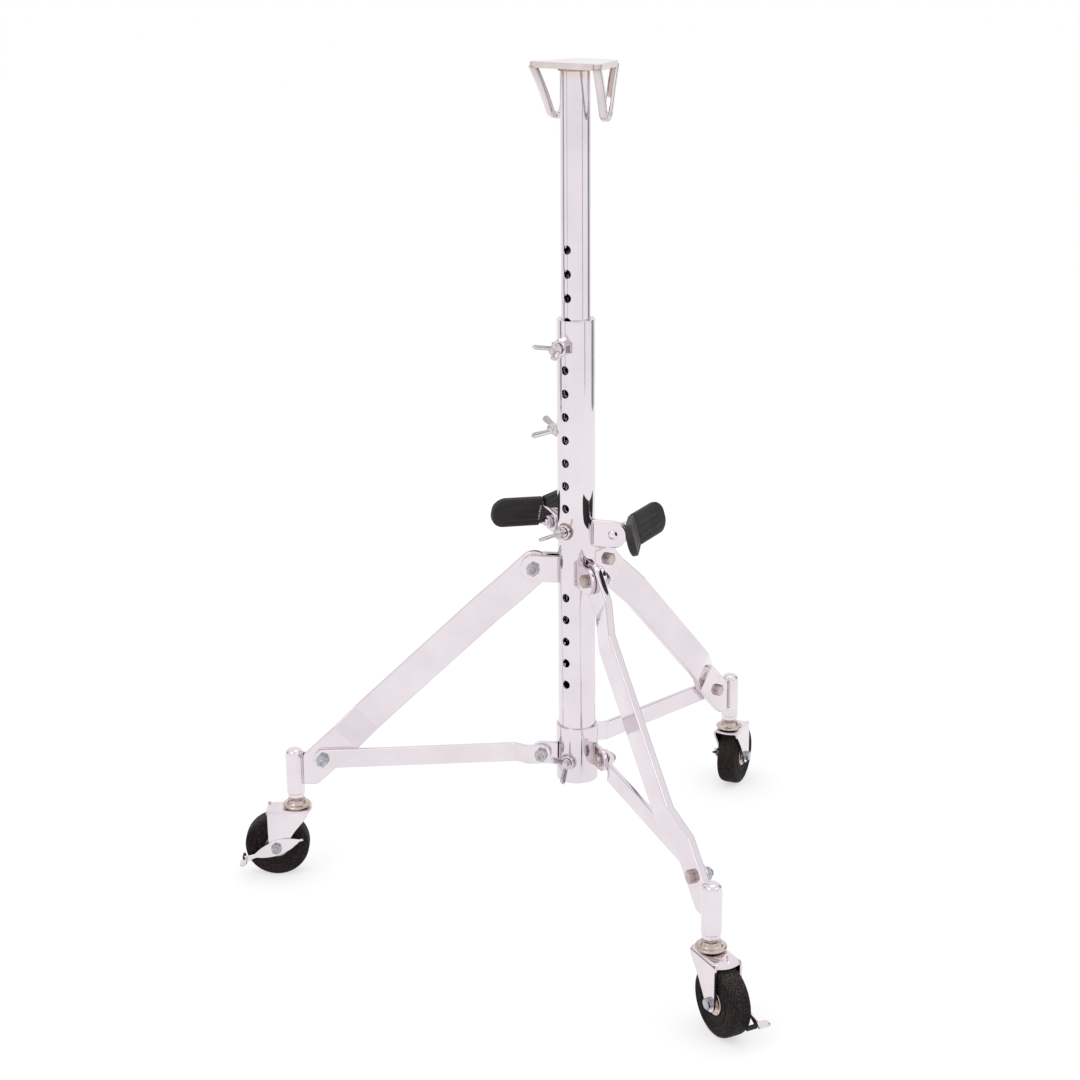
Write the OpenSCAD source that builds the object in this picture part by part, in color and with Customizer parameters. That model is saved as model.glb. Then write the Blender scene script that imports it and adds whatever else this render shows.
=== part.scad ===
// Rolling double drum stand: telescoping mast on a folding tripod with three braked casters,
// two padded V cradles and two hook loops. Millimetres, +Z up, floor at z = 0, mast axis on Z.
// Each leg is drawn in its own frame: X runs outwards, Y is anticlockwise seen from above.

/* [Mast] */
// Outer diameter of the fixed lower tube
mast_od = 41.3; // [38:0.1:45]
// Height of the top end of the lower tube
mast_top = 661; // [640:1:700]
// Outer diameter of the telescoping tube
inner_od = 31.75; // [28:0.05:32]
// Height of the top end of the telescoping tube as it is set
inner_top = 918.5; // [860:0.5:960]
// Spacing of the index holes
hole_pitch = 25.4; // [20:0.1:30]
// Diameter of the index holes
hole_d = 9.5; // [8:0.1:11]

/* [Tripod] */
// Distance of the upper leg pivot from the mast axis
hip_r = 46.8; // [44:0.1:55]
// Height of the upper leg pivot
hip_z = 383.6; // [360:0.1:400]
// Distance of the foot pivot from the mast axis
foot_r = 291.5; // [270:0.5:310]
// Height of the foot pivot
foot_z = 146; // [140:1:155]
// Distance of the collar pivot from the mast axis
lug_r = 38.1; // [36:0.1:44]
// Height of the collar pivot
lug_z = 168.5; // [160:0.5:180]
// Width of a leg bar
leg_w = 37; // [28:1:42]
// Thickness of a leg bar
leg_t = 8; // [6:0.5:10]
// Width of a strut
strut_w = 22; // [18:1:26]
// Thickness of a strut
strut_t = 5; // [4:0.5:6]

/* [Casters] */
// Distance of the caster stems from the mast axis
stem_r = 327; // [320:1:335]
// Diameter of a caster stem
stem_d = 21; // [18:0.5:24]
// Diameter of a wheel
wheel_d = 74; // [70:1:76]
// Width of a tyre
wheel_w = 24; // [20:1:25]
// Distance from the swivel axis to the axle
trail = 24; // [20:1:28]

/* [Cradles and hooks] */
// Half the angle between the two cradles
cradle_half = 72.5; // [65:0.5:80]
// Angle between the two arms of a cradle
vee_angle = 152; // [140:1:160]
// Lean of a cradle, bottom outwards
cradle_lean = 15; // [0:1:20]
// Length of a rubber sleeve
sleeve_l = 56; // [45:1:60]
// Height of a rubber sleeve
sleeve_h = 35; // [30:1:38]

/* [Hidden] */
$fn = 64;

chrome = [0.83, 0.82, 0.85];
zinc = [0.62, 0.68, 0.78];
yellow_zinc = [0.80, 0.62, 0.38];
rubber = [0.10, 0.09, 0.09];

leg_az = [180, -60, 60];          // left, front, rear
swivel_az = [189, -56, 73];       // way each caster trails
screw_az = -120;                  // face of the mast with the index holes
cradle_az = [60 - cradle_half, 60 + cradle_half];

mast_foot = 140;                  // lower end of the fixed tube
mast_bore = 36.5;
bush_bore = inner_od / 2 + 0.06;  // running fit on the telescoping tube
bush_l = 48;
inner_foot = 400;
inner_bore = 28;
pin_z = 633.5;                    // the hole that the height screw uses
lock_z = 536;
lock_az = 151;
index_z = pin_z - 8 * hole_pitch;
collar_z = [136, 201];
collar_od = 47;
collar_bore_r = mast_od / 2 + 0.08;
collar_screw_az = -108;
collar_screw_z = 162;

bolt_r = 4;
pivot_hole_r = bolt_r + 0.05;     // running fit of a bar on its bolt
hex_r = 7.33;                     // across corners, half
head_t = 5.3;
tab_t = 5;
play = 0.4;                       // side play between bars and tabs
hip_tab_r = 15;
leg_main_y = -9;                  // the middle of a leg is set over to the clockwise side
foot_y = 2;
strut_y = foot_y + leg_t / 2 + play;        // inner face of a strut at the foot
lug_y = 10.5;                               // inner face of a collar lug
strut_in_y = lug_y + tab_t + 0.3;           // inner face of a strut at the collar
leg_len = sqrt(pow(foot_r - hip_r, 2) + pow(hip_z - foot_z, 2));
leg_slope = atan2(hip_z - foot_z, foot_r - hip_r);
strut_len = sqrt(pow(foot_r - lug_r, 2) + pow(lug_z - foot_z, 2));
strut_slope = atan2(lug_z - foot_z, foot_r - lug_r);

stem_z = [100, 155];
spigot_r = 5;
crown_z = [79, 82];
fork_y = 13.6;                    // inner face of a fork cheek
fork_t = 2.4;
axle_r = 3.5;
hub_r = 13.5;
leaf_t = 2;

plate_t = 6.5;
hook_r = 33;
hook_half = 30;
bar_t = 7;
bar_w = 8.5;
hook_foot_r = 9;
hook_drop = 40.5;                   // plate underside to the middle of the loop's foot
cradle_pivot_r = 43;
cradle_z = 427;
vee_r = 67;                       // middle of the strap at the bend, before the lean
strap_t = 3;
strap_w = 22;
sleeve_t = 10;
sleeve_round = 15;

module at_az(az, r = 0, z = 0) rotate([0, 0, az]) translate([r, 0, z]) children();
// Turns +Z to +Y and starts at y = from
module across(from) translate([0, from, 0]) rotate([-90, 0, 0]) children();
// Extrudes a profile drawn in X and Z from y = low to y = low + thick
module slab(low, thick) translate([0, low + thick, 0]) rotate([90, 0, 0]) linear_extrude(thick) children();
module rod(r, h) cylinder(r = r, h = h);
module ring(outer, inner, h) difference() {
    cylinder(r = outer, h = h);
    translate([0, 0, -1]) cylinder(r = inner, h = h + 2);
}
module nut(h) cylinder(r = hex_r, h = h, $fn = 6);

// Bolt with a hex head below z = 0
module bolt(l, r = bolt_r) {
    translate([0, 0, -head_t]) nut(head_t);
    rod(r, l);
}

// ---- Mast ----
module index_holes(count, z) for (i = [0 : count - 1])
    at_az(screw_az, -60, z - i * hole_pitch) rotate([0, 90, 0]) cylinder(d = hole_d, h = 120);

module outer_mast() color(chrome) difference() {
    translate([0, 0, mast_foot]) rod(mast_od / 2, mast_top - mast_foot);
    translate([0, 0, mast_foot - 1]) rod(mast_bore / 2, mast_top - mast_foot + 2);
    index_holes(7, pin_z - hole_pitch);
    index_holes(5, pin_z - 11 * hole_pitch);
    index_holes(1, pin_z);
    at_az(screw_az, 0, index_z) rotate([0, 90, 0]) cylinder(d = hole_d, h = 60);
    at_az(lock_az, 0, lock_z) rotate([0, 90, 0]) cylinder(d = hole_d, h = 60);
}

module guide_bush() color(chrome) difference() {
    translate([0, 0, mast_top - bush_l]) ring(mast_bore / 2, bush_bore, bush_l);
    index_holes(1, pin_z);
}

module inner_mast() color(chrome) difference() {
    translate([0, 0, inner_foot]) ring(inner_od / 2, inner_bore / 2, inner_top - inner_foot);
    index_holes(12, pin_z + 4 * hole_pitch);
}

// ---- Leg brackets and pivots on the mast ----
module hip_tab(low) difference() {
    slab(low, tab_t) difference() {
        union() {
            translate([12, hip_z - hip_tab_r]) square([hip_r - 12, 2 * hip_tab_r]);
            translate([hip_r, hip_z]) circle(hip_tab_r);
        }
        translate([hip_r, hip_z]) circle(bolt_r);
    }
    translate([0, 0, hip_z - 40]) rod(mast_od / 2, 80);
}

module leg_brackets() color(chrome) for (az = leg_az) at_az(az) {
    hip_tab(leg_t / 2 + play);
    hip_tab(-leg_t / 2 - play - tab_t);
}

hip_face = leg_t / 2 + play + tab_t;
module leg_pivot_bolts() color(yellow_zinc) for (az = leg_az) at_az(az, hip_r, hip_z)
    across(-hip_face) bolt(2 * hip_face + 9);

module leg_pivot_nuts() color(zinc) for (az = leg_az) at_az(az, hip_r, hip_z)
    across(hip_face) difference() {
        nut(6.5);
        translate([0, 0, -1]) rod(bolt_r, 9);
    }

// ---- Legs ----
// Outline of a bar seen edge-on: stations along X with the middle of the bar's thickness
module bar_edge(stations, thick) polygon(concat(
    [for (p = stations) [p[0], p[1] - thick / 2]],
    [for (i = [len(stations) - 1 : -1 : 0]) [stations[i][0], stations[i][1] + thick / 2]]));

module leg(i) color(chrome) at_az(leg_az[i]) difference() {
    translate([hip_r, 0, hip_z]) rotate([0, leg_slope, 0]) difference() {
        union() {
            translate([0, 0, -leg_w / 2]) linear_extrude(leg_w) bar_edge([
                [0, 0], [35, 0], [75, leg_main_y], [leg_len - 70, leg_main_y],
                [leg_len - 35, foot_y], [leg_len + 70, foot_y]], leg_t);
            across(-leg_t / 2) rod(leg_w / 2, leg_t);
        }
        across(-20) rod(pivot_hole_r, 40);
        translate([leg_len, 0, 0]) across(-20) rod(pivot_hole_r, 40);
    }
    translate([stem_r, foot_y, 0]) rod(stem_d / 2, 300);
    translate([stem_r, -50, -10]) cube([200, 100, 400]);
    translate([200, -50, -100]) cube([300, 100, 212]);
}

module foot_bolt(i) color(yellow_zinc) at_az(leg_az[i], foot_r, foot_z)
    across(foot_y - leg_t / 2) bolt(leg_t + 0.15);

// Domed stem with a turned spigot, riveted over under the fork's crown
module caster_stem(i) color(chrome) at_az(leg_az[i], stem_r) translate([0, foot_y, 0]) {
    dome = 6;
    rotate_extrude() union() {
        translate([0, stem_z[0]]) square([stem_d / 2, stem_z[1] - stem_z[0] - dome]);
        translate([0, stem_z[1] - dome]) intersection() {
            square([stem_d / 2, dome]);
            union() {
                square([stem_d / 2 - dome, dome]);
                translate([stem_d / 2 - dome, 0]) circle(dome);
            }
        }
        translate([0, stem_z[0] - 4.6]) square([stem_d / 2 - 0.8, 4.6]);
        translate([0, crown_z[0] - 1]) square([spigot_r, stem_z[0] - crown_z[0] + 1]);
        translate([0, crown_z[0] - 4]) square([7, 3.7]);
    }
}

// ---- Collar and struts ----
module collar_sleeve() color(chrome) difference() {
    translate([0, 0, collar_z[0]]) ring(collar_od / 2, collar_bore_r, collar_z[1] - collar_z[0]);
    at_az(collar_screw_az, 0, collar_screw_z) rotate([0, 90, 0]) cylinder(d = 8.4, h = 60);
}

module collar_lugs() color(chrome) for (az = leg_az) at_az(az) difference() {
    slab(lug_y, tab_t) difference() {
        union() {
            translate([12, lug_z - 13]) square([lug_r - 12, 26]);
            translate([lug_r, lug_z]) circle(13);
        }
        translate([lug_r, lug_z]) circle(bolt_r);
    }
    translate([0, 0, lug_z - 40]) rod(collar_od / 2, 80);
}

strut_out = strut_in_y + strut_t;
module collar_pivot_bolts() color(yellow_zinc) for (az = leg_az) at_az(az, lug_r, lug_z)
    across(lug_y) bolt(strut_out - lug_y + 8.5);

module collar_pivot_nuts() color(zinc) for (az = leg_az) at_az(az, lug_r, lug_z)
    across(strut_out + 0.3) difference() {
        nut(5.5);
        translate([0, 0, -1]) rod(bolt_r, 8);
    }

module strut(i) color(chrome) at_az(leg_az[i], lug_r, lug_z) rotate([0, strut_slope, 0]) difference() {
    mid = strut_y + strut_t / 2;
    mid_in = strut_in_y + strut_t / 2;
    union() {
        translate([0, 0, -strut_w / 2]) linear_extrude(strut_w)
            bar_edge([[0, mid_in], [16, mid_in], [30, mid], [strut_len, mid]], strut_t);
        across(strut_in_y) rod(strut_w / 2, strut_t);
        translate([strut_len, 0, 0]) across(strut_y) rod(strut_w / 2, strut_t);
    }
    across(0) rod(pivot_hole_r, 40);
    translate([strut_len, 0, 0]) across(0) rod(pivot_hole_r, 40);
}

module foot_nut(i) color(zinc) at_az(leg_az[i], foot_r, foot_z) {
    across(strut_y - 0.15) rod(bolt_r, strut_t + 9.5);
    across(strut_y + strut_t) nut(6.5);
}

// ---- Wing screws: axis along +X, tip at x = 0, wings turned anticlockwise from upright ----
module wing_screw(tip_r, l, turned) rotate([0, 90, 0]) rotate([0, 0, -turned]) {
    rod(tip_r, l);
    translate([0, 0, l]) cylinder(r1 = 6.5, r2 = 5.5, h = 9);
    for (side = [-1, 1]) hull() {
        translate([side * 3.5, 0, l + 4]) rotate([90, 0, 0]) cylinder(r = 3, h = 4, center = true, $fn = 32);
        translate([side * 12.5, 0, l + 21]) rotate([90, 0, 0]) cylinder(r = 4, h = 4, center = true, $fn = 32);
    }
}

boss_l = 9;
mast_boss_r = 19.6;
// Welded hex nut, cut to sit on a tube of radius seat
module boss(seat, bore, l) difference() {
    translate([seat - 3, 0, 0]) rotate([0, 90, 0]) cylinder(r = 10.4, h = l + 3, $fn = 6);
    rotate([0, 90, 0]) rod(bore, 80);
    translate([0, 0, -40]) rod(seat, 80);
}

module screw_bosses() color(chrome) {
    at_az(screw_az, 0, pin_z) boss(mast_od / 2, 4.1, boss_l + 2);
    at_az(lock_az, 0, lock_z) boss(mast_od / 2, 4.1, 5);
    at_az(screw_az, 0, index_z) boss(mast_od / 2, 4.1, 4);
}

module collar_boss() color(chrome)
    at_az(collar_screw_az, 0, collar_screw_z) boss(collar_od / 2, 4.1, 5);

// The clamping screws stop just short of the telescoping tube
tip_in = inner_od / 2 + 0.35;
module height_screw() color(chrome) at_az(screw_az, bush_bore + 0.3, pin_z)
    wing_screw(bolt_r, mast_od / 2 + boss_l + 2.5 - bush_bore, -70);
module lock_screw() color(chrome) at_az(lock_az, tip_in, lock_z)
    wing_screw(bolt_r, mast_od / 2 + 6 - tip_in, -55);
module index_screw() color(chrome) at_az(screw_az, tip_in, index_z)
    wing_screw(bolt_r, mast_od / 2 + 5 - tip_in, 70);
module collar_screw() color(chrome) at_az(collar_screw_az, mast_od / 2 + 0.35, collar_screw_z)
    wing_screw(bolt_r, collar_od / 2 + 6 - mast_od / 2 - 0.35, -25);

// Far end of the height pin, showing behind the lower tube
module pin_tip() color(chrome) at_az(screw_az + 180, bush_bore + 0.3, pin_z)
    rotate([0, 90, 0]) rod(3.2, mast_od / 2 + 5 - bush_bore);

// ---- Head: plate and hook loops ----
function corner(az, side) = let(a = atan2(side * (hook_half + bar_t / 2), hook_r + bar_w / 2))
    norm([hook_r + bar_w / 2, hook_half + bar_t / 2]) * [cos(az + a), sin(az + a)];

module head_plate() color(chrome) translate([0, 0, inner_top]) linear_extrude(plate_t) polygon([
    corner(cradle_az[0], -1), corner(cradle_az[0], 1),
    corner(cradle_az[1], -1), corner(cradle_az[1], 1)]);

// Bar bent to a V with a round foot, drawn in its own plane: X across, Y up from the foot's middle
function foot_arc(r, from, to) = [for (k = [0 : 24])
    let(a = from + (to - from) * k / 24) r * [cos(a), sin(a)]];

module loop_profile() {
    lean = atan2(hook_half, hook_drop) - asin(hook_foot_r / norm([hook_half, hook_drop]));
    run = sqrt(pow(hook_half, 2) + pow(hook_drop, 2) - pow(hook_foot_r, 2)) + 8;
    up = run * [sin(lean), cos(lean)];
    wide = hook_foot_r + bar_t / 2;
    thin = hook_foot_r - bar_t / 2;
    turn = [cos(lean), -sin(lean)];
    polygon(concat([wide * turn + up], foot_arc(wide, -lean, lean - 180),
        [wide * [-turn[0], turn[1]] + [-up[0], up[1]], thin * [-turn[0], turn[1]] + [-up[0], up[1]]],
        foot_arc(thin, lean - 180, -lean), [thin * turn + up]));
}

module hook(i) color(chrome) at_az(cradle_az[i], hook_r + bar_w / 2, inner_top - hook_drop)
    intersection() {
        rotate([90, 0, -90]) linear_extrude(bar_w) loop_profile();
        translate([-60, -60, -60]) cube([120, 120, 60 + hook_drop]);
    }

// ---- Cradles ----
module cradle_brackets() color(chrome) for (az = cradle_az) at_az(az) difference() {
    slab(-tab_t, tab_t) difference() {
        union() {
            translate([12, cradle_z - 15]) square([cradle_pivot_r - 12, 30]);
            translate([cradle_pivot_r, cradle_z]) circle(15);
        }
        translate([cradle_pivot_r, cradle_z]) circle(bolt_r);
    }
    translate([0, 0, cradle_z - 40]) rod(mast_od / 2, 80);
}

// Round-headed pivot bolt with its nut
module cradle_pivot_bolts() color(chrome) for (az = cradle_az)
    at_az(az, cradle_pivot_r, cradle_z) across(-tab_t) {
        translate([0, 0, -2.6]) cylinder(r1 = 3.6, r2 = 5.4, h = 2.6);
        rod(bolt_r, tab_t + 12);
        translate([0, 0, tab_t + 4.9]) nut(5);
    }

module cradle_place(i) at_az(cradle_az[i], cradle_pivot_r, cradle_z)
    rotate([0, -cradle_lean, 0]) translate([-cradle_pivot_r, 0, 0]) children();
// Frame of one arm: X along the arm from the bend
module arm_frame(side) translate([vee_r, 0, 0]) rotate([0, 0, side * vee_angle / 2]) children();

// Strap bent to a V with a mitred corner
module strap_profile() {
    along = (sleeve_l - 8) * [cos(vee_angle / 2), sin(vee_angle / 2)];
    off = strap_t / 2 * [sin(vee_angle / 2), -cos(vee_angle / 2)];
    mitre = strap_t / 2 / sin(vee_angle / 2);
    polygon([[mitre, 0], along + off, along - off, [-mitre, 0],
        [(along - off)[0], -(along - off)[1]], [(along + off)[0], -(along + off)[1]]]);
}

module cradle(i) color(chrome) cradle_place(i) difference() {
    union() {
        translate([vee_r, 0, -strap_w / 2]) linear_extrude(strap_w) strap_profile();
        slab(0.4, 4) union() {
            translate([cradle_pivot_r, -11]) square([vee_r - 1 - cradle_pivot_r, 22]);
            translate([cradle_pivot_r, 0]) circle(11);
        }
    }
    translate([cradle_pivot_r, 0, 0]) across(-20) rod(pivot_hole_r, 40);
}

// Rubber sleeves: closed round ends, a slot that the strap fills
module pads(i) color(rubber) cradle_place(i) for (side = [-1, 1]) difference() {
    arm_frame(side) slab(-sleeve_t / 2, sleeve_t) union() {
        end = sleeve_l + 3 - sleeve_round;
        half = sleeve_h / 2 - sleeve_round;
        translate([2, -sleeve_h / 2]) square([end - 2, sleeve_h]);
        translate([end - 1, -half]) square([sleeve_round + 1, 2 * half]);
        for (up = [-1, 1]) translate([end, up * half]) circle(sleeve_round);
    }
    translate([vee_r, 0, -strap_w / 2]) linear_extrude(strap_w) strap_profile();
    translate([-20, side > 0 ? -60 : 0.2, -40]) cube([120, 59.8, 80]);
    translate([cradle_pivot_r - 20, -1, -40]) cube([vee_r - cradle_pivot_r + 20, 6.5, 80]);
}

// ---- Casters: swivel axis on Z, trailing along +X ----
module swivel_place(i) at_az(leg_az[i], stem_r) translate([0, foot_y, 0])
    rotate([0, 0, swivel_az[i] - leg_az[i]]) children();

module swivel_cap(i) color(yellow_zinc) swivel_place(i) rotate_extrude() polygon([
    [spigot_r + 0.08, crown_z[1]], [12, crown_z[1]], [16.3, 84.5], [16.3, 86], [12.5, 87.8],
    [10, 92.5], [spigot_r + 0.08, 92.5]]);

module cheek_outline() difference() {
    union() {
        polygon([[-14, crown_z[1]], [33, crown_z[1]], [33, 70], [30, wheel_d / 2],
            [trail - 9, wheel_d / 2 - 1], [3, 56], [-13, 74]]);
        translate([trail, wheel_d / 2]) circle(9);
    }
    translate([trail, wheel_d / 2]) circle(axle_r);
}

module fork(i) color(chrome) swivel_place(i) {
    half = fork_y + fork_t;
    slab(fork_y, fork_t) cheek_outline();
    slab(-half, fork_t) cheek_outline();
    translate([0, 0, crown_z[0]]) difference() {
        linear_extrude(crown_z[1] - crown_z[0]) intersection() {
            translate([-17, -fork_y]) square([52, 2 * fork_y]);
            union() {
                circle(18);
                translate([0, -fork_y]) square([17, 2 * fork_y]);
                translate([17, 0]) circle(18);
            }
        }
        translate([0, 0, -1]) rod(spigot_r + 0.08, 5);
    }
}

module axle(i) color(zinc) swivel_place(i) translate([trail, 0, wheel_d / 2]) {
    across(-fork_y - fork_t - 4.5) cylinder(r = 6.2, h = 4.5, $fn = 6);
    across(-fork_y - fork_t) rod(axle_r, 2 * (fork_y + fork_t) + leaf_t + 9);
    across(fork_y + fork_t + leaf_t + 0.6) cylinder(r = 6.2, h = 4.6, $fn = 6);
}

module wheel_place(i) swivel_place(i) translate([trail, 0, wheel_d / 2]) rotate([-90, 0, 0]) children();

module tyre(i) color(rubber) wheel_place(i) rotate_extrude() difference() {
    r = wheel_d / 2;
    h = wheel_w / 2;
    round = 3.5;
    union() {
        translate([hub_r, -h + 1]) square([r - round - hub_r, 2 * h - 2]);
        translate([r - 2 * round, -h]) square([round, 2 * h]);
        translate([r - round - 1, -h + round]) square([round + 1, 2 * (h - round)]);
        for (side = [-1, 1]) translate([r - round, side * (h - round)]) circle(round);
    }
    for (side = [-1, 1]) translate([22, side * (h - 0.5)]) square([2, 2], center = true);
}

module hub(i) color(yellow_zinc) wheel_place(i) rotate_extrude() polygon([
    [axle_r + 0.06, -13.2], [5.5, -13.2], [6.5, -11.4], [hub_r, -10.4], [hub_r, 10.4],
    [6.5, 11.4], [5.5, 13.2], [axle_r + 0.06, 13.2]]);

// Leaf on the axle with a foot pedal at its tail and a shoe over the tread
module brake(i) color(chrome) swivel_place(i) translate([trail, 0, wheel_d / 2]) rotate([0, 20, 0]) {
    y0 = fork_y + fork_t + 0.3;
    reach = 40;
    lens = 56;
    difference() {
        slab(y0, leaf_t) intersection() {
            translate([0, lens - 9]) circle(lens);
            translate([0, 9 - lens]) circle(lens);
            translate([-60, -30]) square([60 + reach, 60]);
        }
        across(0) rod(axle_r + 0.06, 40);
    }
    translate([28, y0, -2.5]) cube([reach + 2 - 28, leaf_t, 5]);
    translate([reach, 4, -4.5]) cube([leaf_t, y0 - 2, 9]);
    translate([reach - 4, y0, -1]) cube([9, 11, leaf_t]);
    translate([reach + 0.5, y0 + 11, -1]) rod(4.5, leaf_t);
    translate([-34, y0, -1.5]) cube([8, leaf_t, 3]);
}

outer_mast();
guide_bush();
leg_brackets();
leg_pivot_bolts();
leg_pivot_nuts();
cradle_brackets();
cradle_pivot_bolts();
screw_bosses();
pin_tip();
inner_mast();
head_plate();
hook(0);  // hook_right
hook(1);  // hook_left
collar_sleeve();
collar_lugs();
collar_boss();
collar_pivot_bolts();
collar_pivot_nuts();
height_screw();
lock_screw();
index_screw();
collar_screw();
leg(0);  // leg_left
leg(1);  // leg_front
leg(2);  // leg_rear
caster_stem(0);  // caster_stem_left
caster_stem(1);  // caster_stem_front
caster_stem(2);  // caster_stem_rear
foot_bolt(0);  // foot_bolt_left
foot_bolt(1);  // foot_bolt_front
foot_bolt(2);  // foot_bolt_rear
strut(0);  // strut_left
strut(1);  // strut_front
strut(2);  // strut_rear
foot_nut(0);  // foot_nut_left
foot_nut(1);  // foot_nut_front
foot_nut(2);  // foot_nut_rear
fork(0);  // fork_left
fork(1);  // fork_front
fork(2);  // fork_rear
swivel_cap(0);  // swivel_cap_left
swivel_cap(1);  // swivel_cap_front
swivel_cap(2);  // swivel_cap_rear
axle(0);  // axle_left
axle(1);  // axle_front
axle(2);  // axle_rear
tyre(0);  // tyre_left
tyre(1);  // tyre_front
tyre(2);  // tyre_rear
hub(0);  // hub_left
hub(1);  // hub_front
hub(2);  // hub_rear
brake(0);  // brake_left
brake(1);  // brake_front
brake(2);  // brake_rear
cradle(0);  // cradle_right
cradle(1);  // cradle_left
pads(0);  // pads_right
pads(1);  // pads_left
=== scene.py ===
import math

import bmesh
import bpy
import numpy as np
from mathutils import Matrix


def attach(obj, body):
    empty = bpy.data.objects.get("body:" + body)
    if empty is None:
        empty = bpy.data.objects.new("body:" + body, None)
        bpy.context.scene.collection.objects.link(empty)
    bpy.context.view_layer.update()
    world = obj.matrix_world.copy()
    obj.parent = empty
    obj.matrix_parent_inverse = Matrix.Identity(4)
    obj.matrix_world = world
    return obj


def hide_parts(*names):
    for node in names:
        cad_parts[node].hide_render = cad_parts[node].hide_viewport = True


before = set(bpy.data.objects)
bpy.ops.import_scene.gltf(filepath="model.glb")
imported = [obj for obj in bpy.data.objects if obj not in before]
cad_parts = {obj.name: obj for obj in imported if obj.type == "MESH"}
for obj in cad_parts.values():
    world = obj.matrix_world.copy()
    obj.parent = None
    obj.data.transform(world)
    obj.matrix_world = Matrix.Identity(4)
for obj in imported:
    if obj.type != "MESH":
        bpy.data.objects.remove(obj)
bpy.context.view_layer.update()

# Sizes below are millimetres in the stand's own frame: floor at 0, mast along Z.
legSides = {"left": (180, 189), "front": (-60, -56), "rear": (60, 73)}  # leg azimuth, way the caster trails
hookSides = {"right": -12.5, "left": 132.5}  # azimuth of each hook and the cradle below it
legCentre = 2.0  # how far the foot of a leg is set over from its radial line


def shift(x=0, y=0, z=0):
    m = np.eye(4)
    m[:3, 3] = (x, y, z)
    return m


def turn(axis, degrees):
    # rotation matrix about X, Y or Z
    c, s = math.cos(math.radians(degrees)), math.sin(math.radians(degrees))
    i, j = {"x": (1, 2), "y": (2, 0), "z": (0, 1)}[axis]
    m = np.eye(4)
    m[i, i] = m[j, j] = c
    m[i, j], m[j, i] = -s, s
    return m


def through(points, matrix):
    return points @ matrix[:3, :3].T + matrix[:3, 3]


def at(az, x=0, y=0, z=0):
    # a place given in a frame turned az degrees about the mast
    return turn("z", az) @ shift(x, y, z)


zToY = turn("x", -90)  # stands a turned shape along +Y
zToX = turn("y", 90)  # lays a turned shape along +X


def filleted(corners, radius, steps=5, closed=True):
    # each corner becomes a quadratic curve that starts and ends radius away from it, at most 0.45 of an edge
    p = np.asarray(corners, float)
    before, after = np.roll(p, 1, 0) - p, np.roll(p, -1, 0) - p
    r = np.broadcast_to(np.asarray(radius, float), len(p))[:, None]
    lenB = np.linalg.norm(before, axis=1, keepdims=True)
    lenA = np.linalg.norm(after, axis=1, keepdims=True)
    a = p + before / lenB * np.minimum(r, 0.45 * lenB)
    b = p + after / lenA * np.minimum(r, 0.45 * lenA)
    t = np.linspace(0, 1, steps)[:, None, None]
    curve = ((1 - t) ** 2 * a + 2 * t * (1 - t) * p + t**2 * b).transpose(1, 0, 2)
    if not closed:
        curve[0], curve[-1] = p[0], p[-1]
    return curve.reshape(-1, p.shape[1])


def arc(centre, radius, fromDeg, toDeg, steps=24):
    a = np.radians(np.linspace(fromDeg, toDeg, steps))
    return np.stack([centre[0] + radius * np.cos(a), centre[1] + radius * np.sin(a)], -1)


def resampled(outline, spacing):
    # closed outline with extra points along its long edges, so a bend across the face has points to follow
    nxt = np.roll(outline, -1, 0)
    count = np.maximum(1, np.ceil(np.linalg.norm(nxt - outline, axis=1) / spacing).astype(int))
    start = np.repeat(np.arange(len(outline)), count)
    step = np.concatenate([np.arange(c) / c for c in count])[:, None]
    return outline[start] * (1 - step) + nxt[start] * step


def turned(profile, around=48, flats=None, twist=0):
    # profile of radius and height carried round Z; flats caps the radius at a hexagon this far across
    a = np.linspace(0, 2 * np.pi, around, endpoint=False)
    r = np.repeat(np.asarray(profile, float)[:, :1], around, 1)
    if flats:
        fromFlat = np.mod(a + np.radians(twist), np.pi / 3) - np.pi / 6
        r = np.minimum(r, flats / 2 / np.cos(fromFlat))
    z = np.repeat(np.asarray(profile, float)[:, 1:], around, 1)
    return np.stack([r * np.cos(a), r * np.sin(a), z], -1), True


def ringed(profile, around):
    # a closed profile carried round Z
    return turned(np.concatenate([profile, profile[:1]]), around)


def rodAlong(radius, low, high):
    return turned([(0, low), (radius, low), (radius, high), (0, high)], 32)


def threaded(radius, low, high, pitch=1.25, depth=0.55, around=24, tip=0.9):
    # radius falls by a triangle wave of height minus angle over a turn, and narrows to the tip
    z = np.concatenate([[low], np.linspace(low, high, int((high - low) / pitch * 6) + 2), [high]])
    a = np.linspace(0, 2 * np.pi, around, endpoint=False)
    zz, aa = np.meshgrid(z, a, indexing="ij")
    saw = np.abs(np.mod(zz / pitch - aa / (2 * np.pi), 1) * 2 - 1)
    r = radius - depth * saw - np.clip(tip - (high - zz), 0, tip) * 0.8
    r[0] = r[-1] = 0
    return np.stack([r * np.cos(aa), r * np.sin(aa), zz], -1), True


def hexHead(across, thick, chamfer=0.8, around=72, twist=0):
    # turned profile whose cone trims the six corners at the outer face, then capped by the flats
    corner = across / math.sqrt(3)
    rows = [(0, 0), (across / 2 * 0.97, 0), (corner, 0.2), (corner, thick - chamfer),
            (corner * 0.985, thick - chamfer * 0.7), (across / 2 * 0.95, thick),
            (across / 2 * 0.7, thick + 0.15), (0, thick + 0.2)]
    return turned(rows, around, across, twist)


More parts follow.
